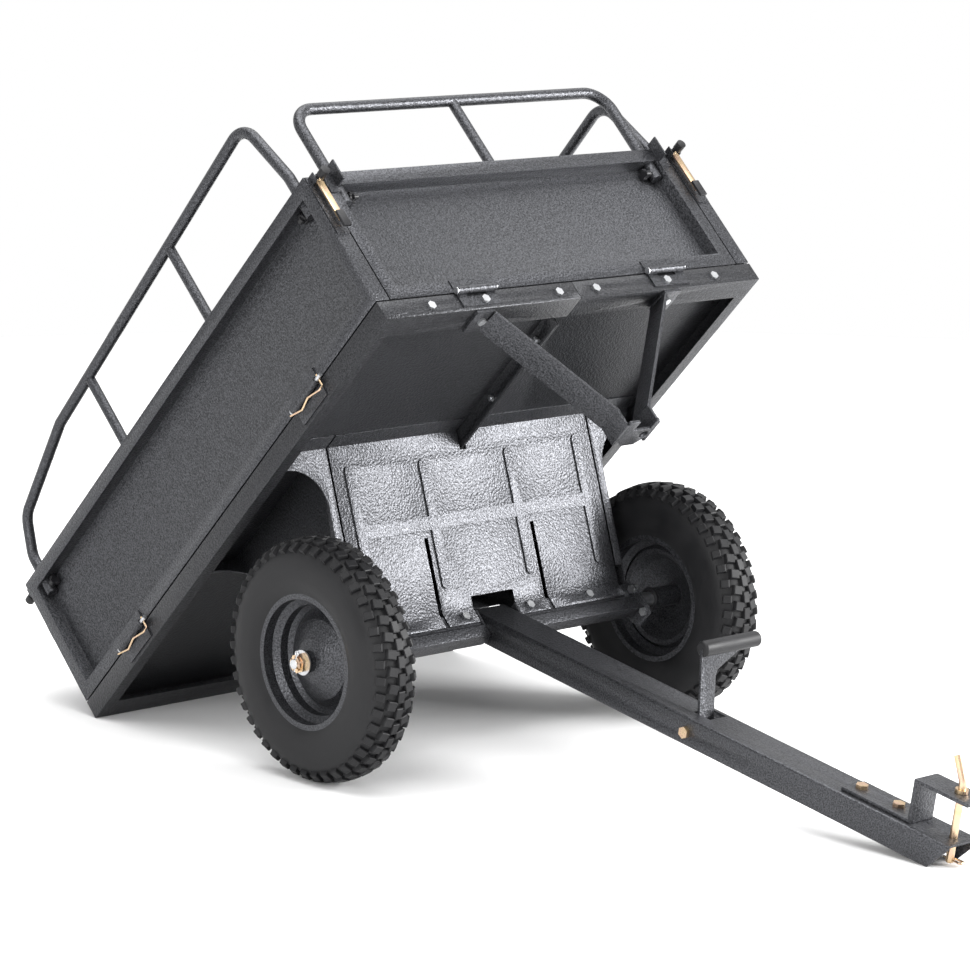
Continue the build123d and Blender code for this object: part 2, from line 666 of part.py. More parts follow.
# ---------------------------------------------------------------- hinges of the panels
HINGES = {"right": (295.0, -345.0), "left": (295.0, -345.0), "front": (-205.0, 205.0), "rear": (-205.0, 205.0)}
middle_half = 19.0
knuckle_gap = 0.5
hinge_half = hinge_length / 2
clip_reach = 6.0
stem_top = 6.0


def knuckle(facing, along, face):
    middle, length = sum(along) / 2, along[1] - along[0]
    rod(spot(facing, middle, face + hinge_offset, hinge_z), lengthwise(facing), knuckle_radius, length)


def bore(facing, at, face):
    rod(spot(facing, at, face + hinge_offset, hinge_z), lengthwise(facing),
        hinge_pin_radius + running_gap, hinge_length + 40, mode=Mode.SUBTRACT)


with BuildPart() as bed_hinge_leaves:
    for facing, places in HINGES.items():
        face = FACES[facing]
        for at in places:
            slab(facing, (at - hinge_half, at + hinge_half), (face, face + leaf_thick),
                 (floor_top - 27, floor_top - 8))
            for along in ((at - hinge_half, at - middle_half - knuckle_gap),
                          (at + middle_half + knuckle_gap, at + hinge_half)):
                slab(facing, along, (face, face + leaf_thick), (floor_top - 9, hinge_z))
                knuckle(facing, along, face)
            bore(facing, at, face)
            if facing in ENDS:
                hand = 1 if at > 0 else -1
                rod(spot(facing, hand * leaf_bolt_y, face, bed_height + 15), (1, 0, 0), 4.1, 20,
                    mode=Mode.SUBTRACT)
keep(bed_hinge_leaves, "bed_hinge_leaves", TIPPED)


def panel_leaves(facing):
    face = FACES[facing]
    with BuildPart() as piece:
        for at in HINGES[facing]:
            slab(facing, (at - hinge_half, at + hinge_half), (face, face + leaf_thick),
                 (panel_bottom + 5, panel_bottom + 22))
            along = (at - middle_half, at + middle_half)
            slab(facing, along, (face, face + leaf_thick), (hinge_z, panel_bottom + 6))
            knuckle(facing, along, face)
            bore(facing, at, face)
    keep(piece, f"{facing}_hinge_leaves", TIPPED)


for facing in FACES:
    panel_leaves(facing)

with BuildPart() as hinge_pins:
    for facing, places in HINGES.items():
        face = FACES[facing]
        for at in places:
            tail = 14 if facing in SIDES else 3
            low, high = at - hinge_half - 1, at + hinge_half + tail
            rod(spot(facing, (low + high) / 2, face + hinge_offset, hinge_z), lengthwise(facing),
                hinge_pin_radius, high - low)
            rod(spot(facing, low - 1, face + hinge_offset, hinge_z), lengthwise(facing),
                hinge_pin_radius + 2, 2)
            if facing in SIDES:
                rod(spot(facing, at + hinge_half + clip_reach, face + hinge_offset, hinge_z), (0, 0, 1),
                    1.8, 20, mode=Mode.SUBTRACT)
keep(hinge_pins, "hinge_pins", TIPPED)

with BuildPart() as hinge_clips:
    for facing in SIDES:
        depth = FACES[facing] + hinge_offset
        for at in HINGES[facing]:
            eye = at + hinge_half + clip_reach
            route = [(eye, 0, stem_top), (eye, 0, -15), (eye - 1, 9, -22), (eye - 32, 9.5, -13),
                     (eye - 56, 9.5, -18), (eye - 84, 10.5, -8)]
            wire([spot(facing, x, depth + y, hinge_z + z) for x, y, z in route], 1.6, 3.2)
keep(hinge_clips, "hinge_clips", TIPPED)

# ---------------------------------------------------------------- guard rails
rail_top = bed_height + 425.0
post_radius = 8.5


def side_rail(side):
    """Bent tube guard rail with two posts, its legs through the panel's top rim."""
    depth = half_width - pivot_depth
    front_leg, rear_leg = side_leg_x
    ridge_front, ridge_rear = (457.0, bed_height + 445), (-270.0, bed_height + 421)
    shoulder = bed_height + 312
    route = [(front_leg, leg_low), (front_leg, shoulder), ridge_front, ridge_rear,
             (-464.0, bed_height + 372), (rear_leg, shoulder), (rear_leg, leg_low)]
    fall = (ridge_front[1] - ridge_rear[1]) / (ridge_front[0] - ridge_rear[0])
    with BuildPart() as piece:
        wire([spot(side, x, depth, z) for x, z in route], rail_radius, rail_bend)
        for x in (174.0, -149.0):
            ridge = ridge_rear[1] + (x - ridge_rear[0]) * fall
            rod(spot(side, x, depth, (ridge + side_panel_top) / 2), (0, 0, 1), post_radius,
                ridge - side_panel_top)
        for leg in side_leg_x:
            rod(spot(side, leg, depth, screw_z), (1, 0, 0), screw_radius + running_gap, 30,
                mode=Mode.SUBTRACT)
    keep(piece, f"{side}_rail", TIPPED)


screw_z = leg_low + 13
screw_radius = 3.0
for side in SIDES:
    side_rail(side)

with BuildPart() as front_rail:
    depth = bed_front - pivot_depth
    right_leg, left_leg = end_leg_y
    wire([(depth, right_leg, leg_low), (depth, right_leg, rail_top), (depth, left_leg, rail_top),
          (depth, left_leg, leg_low)], rail_radius, rail_bend)
    rod((depth, 0, (rail_top + end_panel_top) / 2), (0, 0, 1), post_radius, rail_top - end_panel_top)
    for leg in end_leg_y:
        rod((depth, leg, screw_z), (0, 1, 0), screw_radius + running_gap, 30, mode=Mode.SUBTRACT)
keep(front_rail, "front_rail", TIPPED)

knob_radius = 10.5
knob_width = 13.0


def clamp_knob(facing, leg, inward, label):
    """Three-lobed knob on the screw that passes through the foot of a rail leg."""
    depth = FACES[facing] - pivot_depth
    near = rail_radius + 1.0
    along = lengthwise(facing)
    with BuildPart() as piece:
        rod(spot(facing, leg + inward * (near + knob_width / 2), depth, screw_z), along, 6.5, knob_width)
        for turn in (90, 210, 330):
            lobe = (knob_radius - 4.5) * cos(radians(turn)), (knob_radius - 4.5) * sin(radians(turn))
            rod(spot(facing, leg + inward * (near + knob_width - 4), depth + lobe[0], screw_z + lobe[1]),
                along, 4.5, 8)
        rod(spot(facing, leg + inward * 4, depth, screw_z), along, screw_radius, 34)
    keep(piece, label, TIPPED)


for side in SIDES:
    for end, leg in zip(ENDS, side_leg_x):
        clamp_knob(side, leg, -ENDS[end], f"{side}_knob_{end}")
for side, leg in zip(SIDES, end_leg_y):
    clamp_knob("front", leg, -SIDES[side], f"front_knob_{side}")

# ---------------------------------------------------------------- corner latches
latch_y = half_width - 18.5
latch_pivot_z = bed_height + 270.0
latch_pivot_out = 9.0
latch_length = 92.0
latch_pin_radius = 2.5
latch_knob_out = 26.0


def latch_plates(side):
    """Base plates of the two corner latches, each with ears and a pin."""
    out = SIDES[side]
    with BuildPart() as piece:
        for end in ENDS:
            face = FACES[end]
            slab(end, (out * (latch_y - 7.5), out * (latch_y + 16.5)), (face, face + 2),
                 (latch_pivot_z - latch_length - 12, latch_pivot_z + 8))
            for ear in (-8.5, 8.5):
                slab(end, (out * latch_y + ear - 1, out * latch_y + ear + 1),
                     (face, face + latch_pivot_out + 5), (latch_pivot_z - 8, latch_pivot_z + 8))
            rod(spot(end, out * latch_y, face + latch_pivot_out, latch_pivot_z), (0, 1, 0),
                latch_pin_radius, 19)
    keep(piece, f"latch_plates_{side}", TIPPED)


def latch_lever(end, side):
    """Draw-latch lever that hangs down along the corner, with a grip on its end."""
    out, face = SIDES[side], FACES[end]
    middle = out * latch_y
    with BuildPart() as piece:
        slab(end, (middle - 6, middle + 6), (face + 7.5, face + 10.5),
             (latch_pivot_z - latch_length + 8, latch_pivot_z))
        rod(spot(end, middle, face + latch_pivot_out, latch_pivot_z), (0, 1, 0), 5, 14)
        rod(spot(end, middle, face + latch_pivot_out, latch_pivot_z), (0, 1, 0),
            latch_pin_radius + running_gap, 40, mode=Mode.SUBTRACT)
        grip_at = latch_pivot_z - latch_length + 6
        slab(end, (middle - 7, middle + 7), (face + 10.5, face + 15), (grip_at - 12, grip_at + 18))
        rod(spot(end, middle, face + latch_knob_out, latch_pivot_z - 3), lengthwise("right"), 8, 14)
        slab(end, (middle - 4, middle + 4), (face + 12, face + latch_knob_out - 5),
             (latch_pivot_z - 5, latch_pivot_z + 3))
    keep(piece, f"latch_{end}_{side}", TIPPED)


for side in SIDES:
    latch_plates(side)
    for end in ENDS:
        latch_lever(end, side)


def keepers(end):
    """Hooked keepers on the end panel's top corners."""
    face = FACES[end]
    with BuildPart() as piece:
        for out in SIDES.values():
            near, far = out * (end_panel_half_width - 27), out * (end_panel_half_width - 6)
            slab(end, (near, far), (face, face + 2.5), (end_panel_top - 40, end_panel_top - 4))
            slab(end, (near, near + out * 3), (face, face + 22), (end_panel_top - 30, end_panel_top + 8))
    keep(piece, f"{end}_keepers", TIPPED)


for end in ENDS:
    keepers(end)

# ---------------------------------------------------------------- origin and files
ends_of_cart = [limit for piece in kept for box in [piece.bounding_box()] for limit in (box.min.X, box.max.X)]
centring = Location((-(min(ends_of_cart) + max(ends_of_cart)) / 2, 0, 0))
os.makedirs("parts", exist_ok=True)
for piece in kept:
    centred = piece.moved(centring)
    centred.label = piece.label
    export_step(centred, f"parts/{piece.label}.step")
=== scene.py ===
# %% [markdown]
# # A tipping garden cart in hammered paint
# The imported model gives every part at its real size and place.  This script gives those parts their
# finish: rolled sheet edges, a hammered coat, rubber with a real tread, and plated fasteners.
# We load the model first and note its box, because nothing we add may grow past it.

# %% Load the model
import json
import math

import bmesh
import bpy
from mathutils import Matrix, Vector


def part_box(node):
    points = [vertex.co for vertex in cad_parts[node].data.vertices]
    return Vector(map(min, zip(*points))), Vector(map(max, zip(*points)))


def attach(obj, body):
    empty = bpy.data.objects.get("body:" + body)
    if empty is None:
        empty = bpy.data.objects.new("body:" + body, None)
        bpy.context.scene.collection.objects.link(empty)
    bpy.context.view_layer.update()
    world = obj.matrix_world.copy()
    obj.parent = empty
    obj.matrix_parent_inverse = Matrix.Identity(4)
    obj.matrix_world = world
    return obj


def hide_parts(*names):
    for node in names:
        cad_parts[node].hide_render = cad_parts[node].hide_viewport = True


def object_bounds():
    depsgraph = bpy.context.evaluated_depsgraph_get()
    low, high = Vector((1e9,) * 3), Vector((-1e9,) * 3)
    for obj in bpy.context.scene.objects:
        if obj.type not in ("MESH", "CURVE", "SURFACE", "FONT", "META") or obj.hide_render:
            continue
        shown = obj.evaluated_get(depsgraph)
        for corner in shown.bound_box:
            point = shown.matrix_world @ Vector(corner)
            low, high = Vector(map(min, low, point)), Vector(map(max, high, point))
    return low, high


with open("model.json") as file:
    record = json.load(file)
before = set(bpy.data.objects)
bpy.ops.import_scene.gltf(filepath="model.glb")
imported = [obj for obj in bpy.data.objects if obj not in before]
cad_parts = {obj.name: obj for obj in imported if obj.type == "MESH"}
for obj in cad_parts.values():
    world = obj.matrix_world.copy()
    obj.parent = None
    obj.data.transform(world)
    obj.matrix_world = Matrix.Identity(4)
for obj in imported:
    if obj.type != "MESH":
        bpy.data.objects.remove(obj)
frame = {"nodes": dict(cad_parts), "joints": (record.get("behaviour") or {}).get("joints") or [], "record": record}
NODES = frame["nodes"]
BODY_OF = {node: body for body, group in frame["record"]["behaviour"]["bodies"].items() for node in group}
JOINTS = {joint["name"]: joint for joint in frame["joints"]}
cad_box = [list(corner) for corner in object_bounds()]
MM = 0.001
print("parts:", len(NODES), "box:", cad_box)

# %% [markdown]
# ## The bed's own directions
# The bed stands tipped about the axle.  The fold joint of a side panel turns about the bed's length, so
# its axis tells us which way the bed points, and we build a small frame from it.  A point given in that
# frame is easy to think about, because the bed is level there.

# %% The bed's own frame
axle = Vector(JOINTS["bed_tilt"]["pos_m"])
bed_ahead = Vector(JOINTS["left_panel_fold"]["axis"]) * -1
ACROSS = Vector((0, 1, 0))


def frame_from(ahead, up):
    """A 4x4 frame at the axle with X ahead, Y across to the left and Z up."""
    columns = Matrix((ahead, ACROSS, up)).transposed()
    return Matrix.Translation(axle) @ columns.to_4x4()


BED = frame_from(bed_ahead, bed_ahead.cross(ACROSS))
print("bed tipped by", round(math.degrees(math.asin(bed_ahead.z)), 2), "degrees")

# %% [markdown]
# ## Building blocks for materials
# Every finish here is a Principled surface whose bump, roughness and colour come from noise read on
# Object coordinates.  Our pieces all sit at the origin, so that pattern is in true metres and two
# neighbouring sheets get grain of the same size.


# %% Node helpers
def new_material(name):
    """An empty node material with its shader and its object coordinates."""
    material = bpy.data.materials.new(name)
    material.use_nodes = True
    tree = material.node_tree
    shader = tree.nodes["Principled BSDF"]
    place = tree.nodes.new("ShaderNodeTexCoord").outputs["Object"]
    return material, tree, shader, place


def noise(tree, place, scale, detail=3.0, roughness=0.5):
    node = tree.nodes.new("ShaderNodeTexNoise")
    node.inputs["Scale"].default_value = scale
    node.inputs["Detail"].default_value = detail
    node.inputs["Roughness"].default_value = roughness
    tree.links.new(place, node.inputs["Vector"])
    return node.outputs["Fac"]


def cells(tree, place, scale):
    node = tree.nodes.new("ShaderNodeTexVoronoi")
    node.feature = "SMOOTH_F1"
    node.inputs["Scale"].default_value = scale
    node.inputs["Smoothness"].default_value = 0.6
    tree.links.new(place, node.inputs["Vector"])
    return node.outputs["Distance"]


def ramp(tree, value, stops):
    """Colours or greys along a value."""
    node = tree.nodes.new("ShaderNodeValToRGB")
    elements = node.color_ramp.elements
    while len(elements) < len(stops):
        elements.new(0.5)
    for element, (at, colour) in zip(elements, stops):
        element.position = at
        element.color = (*colour, 1) if hasattr(colour, "__len__") else (colour, colour, colour, 1)
    tree.links.new(value, node.inputs["Fac"])
    return node.outputs["Color"]


def bump(tree, height, strength, distance, under=None):
    node = tree.nodes.new("ShaderNodeBump")
    node.inputs["Strength"].default_value = strength
    node.inputs["Distance"].default_value = distance
    tree.links.new(height, node.inputs["Height"])
    if under is not None:
        tree.links.new(under, node.inputs["Normal"])
    return node.outputs["Normal"]


# %% [markdown]
# ## Hammered paint
# Hammered paint pulls itself into small pits as it dries, so the coat is a field of shallow dimples a
# few millimetres apart, with fine flake between them.  Smooth Voronoi cells make the dimples, and a
# finer noise breaks them up.  The pans under the bed get a darker, duller copy of the same coat: painted
# shade, standing in for the shadow the bed casts over them.


# %% Hammered paint
def hammered_paint(name, dark, light, metal, shine):
    material, tree, shader, place = new_material(name)
    dimples = cells(tree, place, 270)
    flake = noise(tree, place, 900, 2.0)
    speckle = noise(tree, place, 420, 2.0, 0.6)
    normal = bump(tree, dimples, 0.5, 0.0012)
    normal = bump(tree, flake, 0.2, 0.0004, normal)
    tree.links.new(normal, shader.inputs["Normal"])
    tree.links.new(ramp(tree, speckle, [(0.36, dark), (0.64, light)]), shader.inputs["Base Color"])
    tree.links.new(ramp(tree, flake, [(0.35, shine - 0.08), (0.7, shine + 0.1)]), shader.inputs["Roughness"])
    shader.inputs["Metallic"].default_value = metal
    return material


PAINT = hammered_paint("hammered_paint", (0.022, 0.0225, 0.025), (0.084, 0.086, 0.094), 0.7, 0.38)
# painted shade: a darker, duller copy of the paint for the pans in the bed's shadow
PAN_PAINTED_SHADE = hammered_paint("pan_painted_shade", (0.010, 0.0105, 0.012), (0.050, 0.051, 0.056), 0.6, 0.42)
print("made", PAINT.name, "and", PAN_PAINTED_SHADE.name)

# %% [markdown]
# ## Rubber, plastic and plated steel
# Rubber is nearly black and rough, with lighter patches of dust spread at random.  The plated parts are two kinds:
# bright zinc, which is bluish, and yellow-passivated zinc, which drifts from straw to pink as its film thickens.


# %% Rubber and plastic
def dull_black(name, dark, light, rough, grain, depth):
    material, tree, shader, place = new_material(name)
    fine = noise(tree, place, grain, 3.0)
    cloud = noise(tree, place, 18, 4.0)
    tree.links.new(ramp(tree, cloud, [(0.35, dark), (0.75, light)]), shader.inputs["Base Color"])
    tree.links.new(ramp(tree, cloud, [(0.3, rough - 0.08), (0.7, rough + 0.08)]), shader.inputs["Roughness"])
    tree.links.new(bump(tree, fine, 0.35, depth), shader.inputs["Normal"])
    shader.inputs["Specular IOR Level"].default_value = 0.28
    return material


TYRE_RUBBER = dull_black("tyre_rubber", (0.006, 0.006, 0.007), (0.014, 0.014, 0.015), 0.55, 700, 0.0004)
GRIP_RUBBER = dull_black("grip_rubber", (0.012, 0.012, 0.013), (0.022, 0.022, 0.024), 0.5, 900, 0.0008)
PLASTIC = dull_black("black_plastic", (0.010, 0.010, 0.011), (0.016, 0.016, 0.018), 0.38, 1400, 0.0002)


# %% Plated steel
def plated(name, colours, rough):
    material, tree, shader, place = new_material(name)
    drift = noise(tree, place, 45, 3.0)
    fine = noise(tree, place, 900, 2.0)
    stops = [(0.25 + 0.5 * i / (len(colours) - 1), colour) for i, colour in enumerate(colours)]
    tree.links.new(ramp(tree, drift, stops), shader.inputs["Base Color"])
    tree.links.new(ramp(tree, fine, [(0.3, rough - 0.06), (0.7, rough + 0.1)]), shader.inputs["Roughness"])
    tree.links.new(bump(tree, fine, 0.15, 0.0002), shader.inputs["Normal"])
    shader.inputs["Metallic"].default_value = 1.0
    return material


BRIGHT_ZINC = plated("bright_zinc", [(0.50, 0.51, 0.53), (0.62, 0.63, 0.64)], 0.32)
YELLOW_ZINC = plated("yellow_zinc", [(0.62, 0.46, 0.24), (0.70, 0.52, 0.34), (0.66, 0.42, 0.34)], 0.3)
FINISH = {"hammered_paint": PAINT, "tyre": TYRE_RUBBER, "yellow_zinc": YELLOW_ZINC,
          "bright_zinc": BRIGHT_ZINC, "black_plastic": PLASTIC, "grip_rubber": GRIP_RUBBER,
          "nylon_bush": PLASTIC}
SLOT_OF = {part["node"]: part["material_slot"] for part in frame["record"]["subparts"]}
for node, thing in NODES.items():
    thing.data.materials.clear()
    # the pans under the bed take the darker copy, which is painted shade
    thing.data.materials.append(PAN_PAINTED_SHADE if node.startswith("floor_pan") else FINISH[SLOT_OF[node]])
print("finished", len(NODES), "parts")

# %% [markdown]
# ## Rolled edges on folded sheet
# A folded sheet has no razor edges: each fold and each cut has a small radius that catches a line of
# light.  The model's parts are plain, so we copy a part's mesh, weld its loose triangles, clear the
# triangulation from its flat faces, and bevel every sharp edge.  The copy stands in for the part.
# The aprons' pressed ribs get a wider, rounder bevel than the folds do.


# %% A softened copy of a part
def finish_piece(piece, body, material=None):
    if material is not None:
        piece.data.materials.clear()
        piece.data.materials.append(material)
    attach(piece, body)
    return piece


def baked(piece):
    """Turns what the modifiers make into the piece's own mesh."""
    done = bpy.data.meshes.new_from_object(piece.evaluated_get(bpy.context.evaluated_depsgraph_get()))
    piece.modifiers.clear()
    piece.data = done
    return piece


def softened(node, radius, segments=2):
    mesh = NODES[node].data.copy()
    shape = bmesh.new()
    shape.from_mesh(mesh)
    bmesh.ops.remove_doubles(shape, verts=shape.verts, dist=0.00002)
    bmesh.ops.dissolve_limit(shape, angle_limit=math.radians(1.0), verts=shape.verts, edges=shape.edges)
    shape.to_mesh(mesh)
    shape.free()
    piece = bpy.data.objects.new(node + "_finished", mesh)
    bpy.context.scene.collection.objects.link(piece)
    edge = piece.modifiers.new("edge", "BEVEL")
    edge.width = radius
    edge.segments = segments
    edge.limit_method = "ANGLE"
    edge.angle_limit = math.radians(35)
    edge.harden_normals = False
    baked(piece)
    for face in piece.data.polygons:
        face.use_smooth = True
    piece.data.set_sharp_from_angle(angle=math.radians(40))
    finish_piece(piece, BODY_OF[node])
    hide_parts(node)
    return piece


SHEET_PARTS = ["front_panel", "rear_panel", "right_panel", "left_panel", "floor_pan_right", "floor_pan_left",
               "side_plate_right", "side_plate_left", "apron_front", "apron_rear", "axle_beam",
               "latch_arm_right", "latch_arm_left", "latch_shoe", "drawbar", "hitch_plate", "release_lever"]
FOLD_ROUND, RIB_ROUND, LATCH_ROUND = 0.7 * MM, 2.2 * MM, 0.6 * MM
for node in SHEET_PARTS:
    ribbed = node.startswith("apron")
    made = softened(node, RIB_ROUND if ribbed else FOLD_ROUND, 3 if ribbed else 2)
    print(made.name, len(made.data.polygons), "faces")

# %% [markdown]
# ## Corner latches
# A corner latch is a plated strip with a moulded black grip on its lower end and a black knob beside
# its pivot.  It is one part in the model, so we soften it and give the moulded faces the second finish:
# the ones that stand further out from the panel than the strip does.

# %% Two finishes on each latch
STRIP_FACE = 10.6 * MM
HINGE_OUT = 7 * MM
BED_INVERSE = BED.inverted()
for end, sign, fold in (("front", 1, JOINTS["front_panel_fold"]), ("rear", -1, JOINTS["rear_panel_fold"])):
    face_x = (BED_INVERSE @ Vector(fold["pos_m"])).x - sign * HINGE_OUT
    for side in ("right", "left"):
        latch = softened(f"latch_{end}_{side}", LATCH_ROUND)
        latch.data.materials.append(PLASTIC)
        for face in latch.data.polygons:
            if sign * ((BED_INVERSE @ face.center).x - face_x) > STRIP_FACE:
                face.material_index = 1
        print(latch.name, sum(face.material_index for face in latch.data.polygons), "moulded faces")

# %% [markdown]
# ## Tyres with a block tread
# The real tyre is a smooth round casing with rows of rubber blocks moulded on it.  The casing is a
# profile turned about the axle.  The blocks repeat, so Geometry Nodes make them: each row is a circle
# of points, and one small block sits on every point.  Neighbouring rows are turned by half a step, so
# the blocks are staggered, and the outer rows lean over the shoulder.

# %% The casing
BLOCK_HEIGHT = 6.5 * MM
CASING = [(103, 30), (104, 34.5), (109, 37), (118, 40.5), (132, 41.6), (146, 41.8), (158, 41),
          (168, 38.5), (176, 34), (182, 27), (186, 18), (188, 8), (188.5, 0)]


def wheel_middle(side):
    low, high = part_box("tyre_" + side)
    return Vector([(a + b) / 2 for a, b in zip(low, high)])


def turned(name, profile, middle, steps, closed):
    """A profile of (radius, across) points in mm turned about the axle line through the middle."""
    shape = bmesh.new()
    rings = []
    for step in range(steps):
        turn = 2 * math.pi * step / steps
        spoke = Vector((math.cos(turn), 0, math.sin(turn)))
        rings.append([shape.verts.new(middle + spoke * r * MM + ACROSS * y * MM) for r, y in profile])
    count = len(profile)
    for step in range(steps):
        near, far = rings[step], rings[(step + 1) % steps]
        for i in range(count if closed else count - 1):
            j = (i + 1) % count
            shape.faces.new((near[i], near[j], far[j], far[i]))
    bmesh.ops.recalc_face_normals(shape, faces=shape.faces)
    mesh = bpy.data.meshes.new(name)
    shape.to_mesh(mesh)
    shape.free()
    mesh.shade_smooth()
    piece = bpy.data.objects.new(name, mesh)
    bpy.context.scene.collection.objects.link(piece)
    return piece


def casing(side):
    across = [(r, -y) for r, y in CASING] + [(r, y) for r, y in reversed(CASING[:-1])]
    inner = [(103, 24), (112, 33), (150, 36), (176, 26), (180, 0),
             (176, -26), (150, -36), (112, -33), (103, -24)]
    return turned("tyre_casing_" + side, across + inner, wheel_middle(side), 96, True)


# %% One tread block
def tread_block(name, length, width, height, taper):
    """A rubber block on its base, narrower at the top: X runs round the tyre, Y across, Z outward."""
    shape = bmesh.new()
    corners = []
    for z, share in ((-3 * MM, 1.12), (height - 1 * MM, 1.0), (height, taper)):
        ring = [(-1, -1), (1, -1), (1, 1), (-1, 1)]
        corners.append([shape.verts.new((x * length / 2 * share, y * width / 2 * share, z)) for x, y in ring])
    for lower, upper in zip(corners, corners[1:]):
        for i in range(4):
            shape.faces.new((lower[i], lower[(i + 1) % 4], upper[(i + 1) % 4], upper[i]))
    shape.faces.new(corners[-1])
    shape.faces.new(list(reversed(corners[0])))
    mesh = bpy.data.meshes.new(name)
    shape.to_mesh(mesh)
    shape.free()
    return bpy.data.objects.new(name, mesh)


# %% The tree that sets blocks round the tyre
def socket_id(tree, name):
    return next(item.identifier for item in tree.interface.items_tree if item.name == name)


def row_tree():
    """Points on a circle about Y, each with a block that faces outward and leans with the shoulder."""
    tree = bpy.data.node_groups.new("tread_row", "GeometryNodeTree")
    face = tree.interface
    kinds = {"Count": "Int", "Radius": "Float", "Across": "Float", "Lean": "Float", "Turn": "Float",
             "Twist": "Float", "Middle": "Vector", "Block": "Object", "Rubber": "Material"}
    for name, kind in kinds.items():
        face.new_socket(name, in_out="INPUT", socket_type="NodeSocket" + kind)
    face.new_socket("Geometry", in_out="OUTPUT", socket_type="NodeSocketGeometry")
    made, link = tree.nodes.new, tree.links.new
    given = made("NodeGroupInput").outputs
    index = made("GeometryNodeInputIndex").outputs[0]

    def maths(operation, first, second=None):
        node = made("ShaderNodeMath")
        node.operation = operation
        for socket, value in zip(node.inputs, (first, second)):
            if isinstance(value, (int, float)):
                socket.default_value = value
            elif value is not None:
                link(value, socket)
        return node.outputs[0]

    def triple(x, y, z):
        node = made("ShaderNodeCombineXYZ")
        for socket, value in zip(node.inputs, (x, y, z)):
            if isinstance(value, (int, float)):
                socket.default_value = value
            else:
                link(value, socket)
        return node.outputs[0]

    step = maths("DIVIDE", 2 * math.pi, given["Count"])
    angle = maths("MULTIPLY", maths("ADD", index, given["Turn"]), step)
    spoke_x = maths("MULTIPLY", maths("SINE", angle), given["Radius"])
    spoke_z = maths("MULTIPLY", maths("COSINE", angle), given["Radius"])
    shift = made("ShaderNodeVectorMath")
    shift.operation = "ADD"
    link(triple(spoke_x, given["Across"], spoke_z), shift.inputs[0])
    link(given["Middle"], shift.inputs[1])
    points = made("GeometryNodePoints")
    link(given["Count"], points.inputs["Count"])
    link(shift.outputs[0], points.inputs["Position"])
    info = made("GeometryNodeObjectInfo")
    link(given["Block"], info.inputs["Object"])
    turned_block = made("GeometryNodeTransform")
    link(info.outputs["Geometry"], turned_block.inputs["Geometry"])
    link(triple(given["Lean"], 0.0, given["Twist"]), turned_block.inputs["Rotation"])
    copies = made("GeometryNodeInstanceOnPoints")
    link(points.outputs[0], copies.inputs["Points"])
    link(turned_block.outputs[0], copies.inputs["Instance"])
    link(triple(0.0, angle, 0.0), copies.inputs["Rotation"])
    real = made("GeometryNodeRealizeInstances")
    link(copies.outputs[0], real.inputs[0])
    paint = made("GeometryNodeSetMaterial")
    link(real.outputs[0], paint.inputs["Geometry"])
    link(given["Rubber"], paint.inputs["Material"])
    link(paint.outputs[0], made("NodeGroupOutput").inputs[0])
    return tree


ROW_TREE = row_tree()
print("the row tree has", len(ROW_TREE.nodes), "nodes")

# %% [markdown]
# ### The five rows
# Each row is given by its number of blocks, the radius of their bases and its distance across in mm,
# how far the blocks lean and how far the row is turned in steps, their twist in degrees, and the block.

# %% The rows and their blocks
CENTRE_BLOCK = tread_block("centre_block", 19 * MM, 12.5 * MM, BLOCK_HEIGHT, 0.86)
EDGE_BLOCK = tread_block("edge_block", 15 * MM, 16 * MM, BLOCK_HEIGHT, 0.86)
SHOULDER_BLOCK = tread_block("shoulder_block", 12.5 * MM, 15 * MM, BLOCK_HEIGHT, 0.82)
ROWS = [(44, 188.2, 0, 0, 0.0, 0.0, CENTRE_BLOCK),
        (44, 186.6, 14.6, 9, 0.5, 14, EDGE_BLOCK), (44, 186.6, -14.6, -9, 0.5, -14, EDGE_BLOCK),
        (44, 178.6, 31.0, 42, 0.0, 10, SHOULDER_BLOCK), (44, 178.6, -31.0, -42, 0.0, -10, SHOULDER_BLOCK)]


def tread_row(number, row, side):
    count, radius, across, lean, turn, twist, block = row
    piece = bpy.data.objects.new(f"tread_row_{number}_{side}", bpy.data.meshes.new("row"))
    bpy.context.scene.collection.objects.link(piece)
    rows = piece.modifiers.new("rows", "NODES")
    rows.node_group = ROW_TREE
    values = {"Count": count, "Radius": radius * MM, "Across": across * MM, "Lean": -math.radians(lean),
              "Turn": turn, "Twist": math.radians(twist), "Middle": wheel_middle(side), "Block": block,
              "Rubber": TYRE_RUBBER}
    for name, value in values.items():
        rows[socket_id(ROW_TREE, name)] = value
    return baked(piece)


def joined(name, pieces):
    """Several pieces' meshes in one mesh."""
    whole = bmesh.new()
    for piece in pieces:
        whole.from_mesh(piece.data)
        bpy.data.objects.remove(piece)
    mesh = bpy.data.meshes.new(name)
    whole.to_mesh(mesh)
    whole.free()
    piece = bpy.data.objects.new(name, mesh)
    bpy.context.scene.collection.objects.link(piece)
    return piece


# %% Tyres on both wheels
for side in ("right", "left"):
    body = "wheel_" + side
    shell = finish_piece(casing(side), body, TYRE_RUBBER)
    tread = joined("tyre_tread_" + side, [tread_row(i, row, side) for i, row in enumerate(ROWS)])
    finish_piece(tread, body, TYRE_RUBBER)
    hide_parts("tyre_" + side)
    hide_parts("tyre_" + side)
    print(side, "tyre:", len(shell.data.polygons), "casing faces,", len(tread.data.polygons), "tread faces")

# %% [markdown]
# ## Floor
# The cart stands on a round pale floor.  It ends where the lamps' light does, and beyond it there is
# only white, so no grey horizon shows.

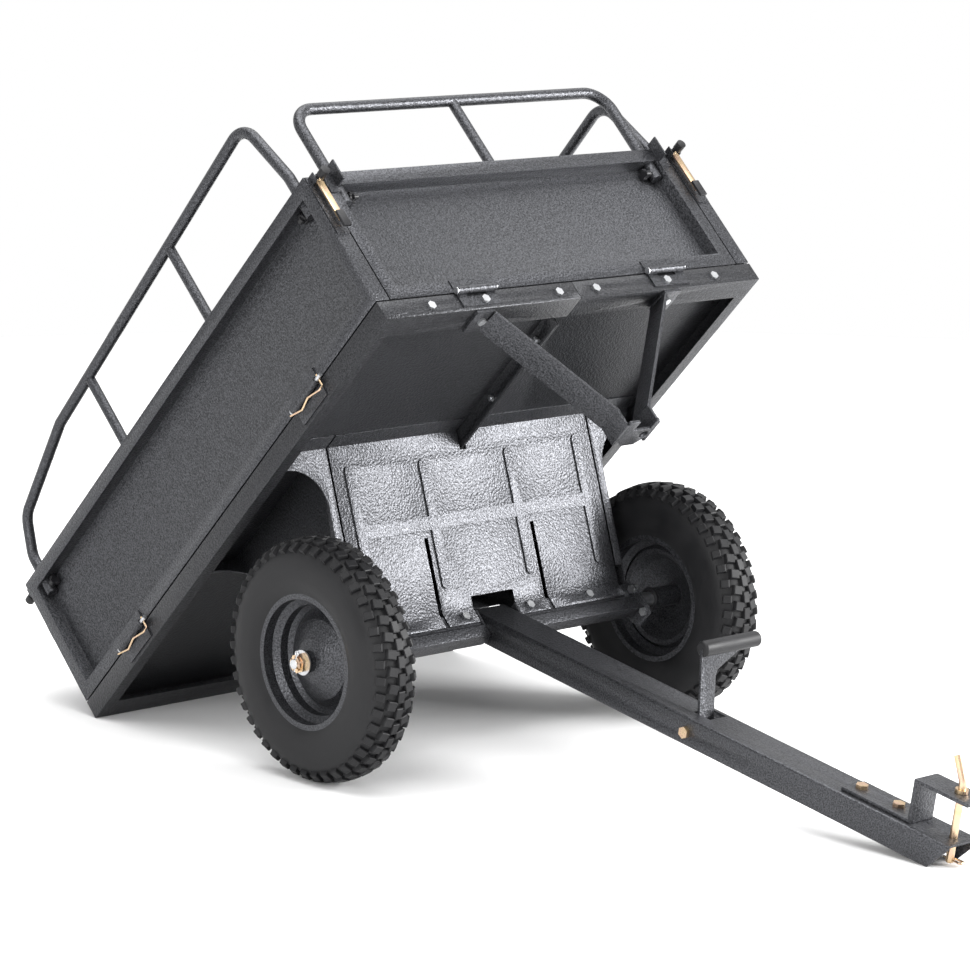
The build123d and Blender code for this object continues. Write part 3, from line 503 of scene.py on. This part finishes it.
# %% Floor
FLOOR_RADIUS = 5.2
floor_z = cad_box[0][2]
bpy.ops.mesh.primitive_circle_add(vertices=128, radius=FLOOR_RADIUS, fill_type="NGON",
                                  location=(0, 0, floor_z))
ground = bpy.context.object
ground.name = "floor"
floor_paint, tree, shader, place = new_material("studio_floor")
tree.links.new(ramp(tree, noise(tree, place, 0.6), [(0.3, 0.86), (0.8, 0.9)]), shader.inputs["Base Color"])
shader.inputs["Roughness"].default_value = 0.9
ground.data.materials.append(floor_paint)
print("floor at", round(floor_z, 4), "m")

# %% [markdown]
# ## Light
# Dark metallic paint shows mostly what it mirrors.  So the key light stands ahead and to the left, low
# enough to glance off the sloping apron, and the panels stay dark because they mirror the weaker
# lights.  The surroundings are white near the horizon and greyer overhead.


# %% Lights
def soft_light(name, at, size, power, aim):
    lamp = bpy.data.lights.new(name, "AREA")
    lamp.shape = "RECTANGLE"
    lamp.size, lamp.size_y = size
    lamp.energy = power
    thing = bpy.data.objects.new(name, lamp)
    bpy.context.scene.collection.objects.link(thing)
    thing.location = at
    thing.rotation_euler = (Vector(aim) - Vector(at)).to_track_quat("-Z", "Y").to_euler()
    return thing


# each lamp: where it stands, its size, its power in watts and the point it faces
LAMPS = {"key": ((3.4, 3.3, 1.7), (2.6, 2.0), 470, (0, 0, 0.4)),
         "top": ((0.3, -0.6, 4.6), (4.5, 4.5), 230, (0, 0, 0.3)),
         "fill": ((1.6, -5.0, 2.2), (3.0, 2.2), 130, (0, 0, 0.5)),
         "back": ((-2.6, 2.4, 5.4), (7.0, 7.0), 300, (-2.6, 2.4, 0))}
for name, (at, size, power, aim) in LAMPS.items():
    soft_light(name, at, size, power, aim)
print("lamps:", ", ".join(LAMPS))

# %% Surroundings
world = bpy.data.worlds.new("studio")
world.use_nodes = True
sky = world.node_tree
split = sky.nodes.new("ShaderNodeSeparateXYZ")
sky.links.new(sky.nodes.new("ShaderNodeTexCoord").outputs["Generated"], split.inputs[0])
shade = ramp(sky, split.outputs["Z"], [(0.24, 1.0), (0.5, 0.42)])
sky.links.new(shade, sky.nodes["Background"].inputs["Color"])
bpy.context.scene.world = world
bpy.context.scene.view_settings.view_transform = "Standard"
print("surroundings:", world.name)

# %% [markdown]
# ## Camera
# A long lens stands ahead of the cart, on its right, a little above the bed, and looks slightly down.

# %% Camera
heading, dip, roll = math.radians(138.103), math.radians(9.974), math.radians(0.297)
look = Vector((math.cos(heading) * math.cos(dip), math.sin(heading) * math.cos(dip), -math.sin(dip)))
level = Vector((math.sin(heading), -math.cos(heading), 0))
upward = level.cross(look)
camera_x = math.cos(roll) * level + math.sin(roll) * upward
camera_y = -math.sin(roll) * level + math.cos(roll) * upward
lens = bpy.data.cameras.new("camera")
camera = bpy.data.objects.new("camera", lens)
bpy.context.scene.collection.objects.link(camera)
stand = Vector((axle.x + 4.36942, -3.99365, 1.46728))
camera.matrix_world = Matrix.Translation(stand) @ Matrix((camera_x, camera_y, -look)).transposed().to_4x4()
lens.sensor_fit = "HORIZONTAL"
lens.sensor_width = 36
lens.lens = 137.69
lens.shift_x, lens.shift_y = 0.01826, 0.00071
bpy.context.scene.camera = camera
print("camera:", lens.lens, "mm, at", [round(value, 3) for value in stand])
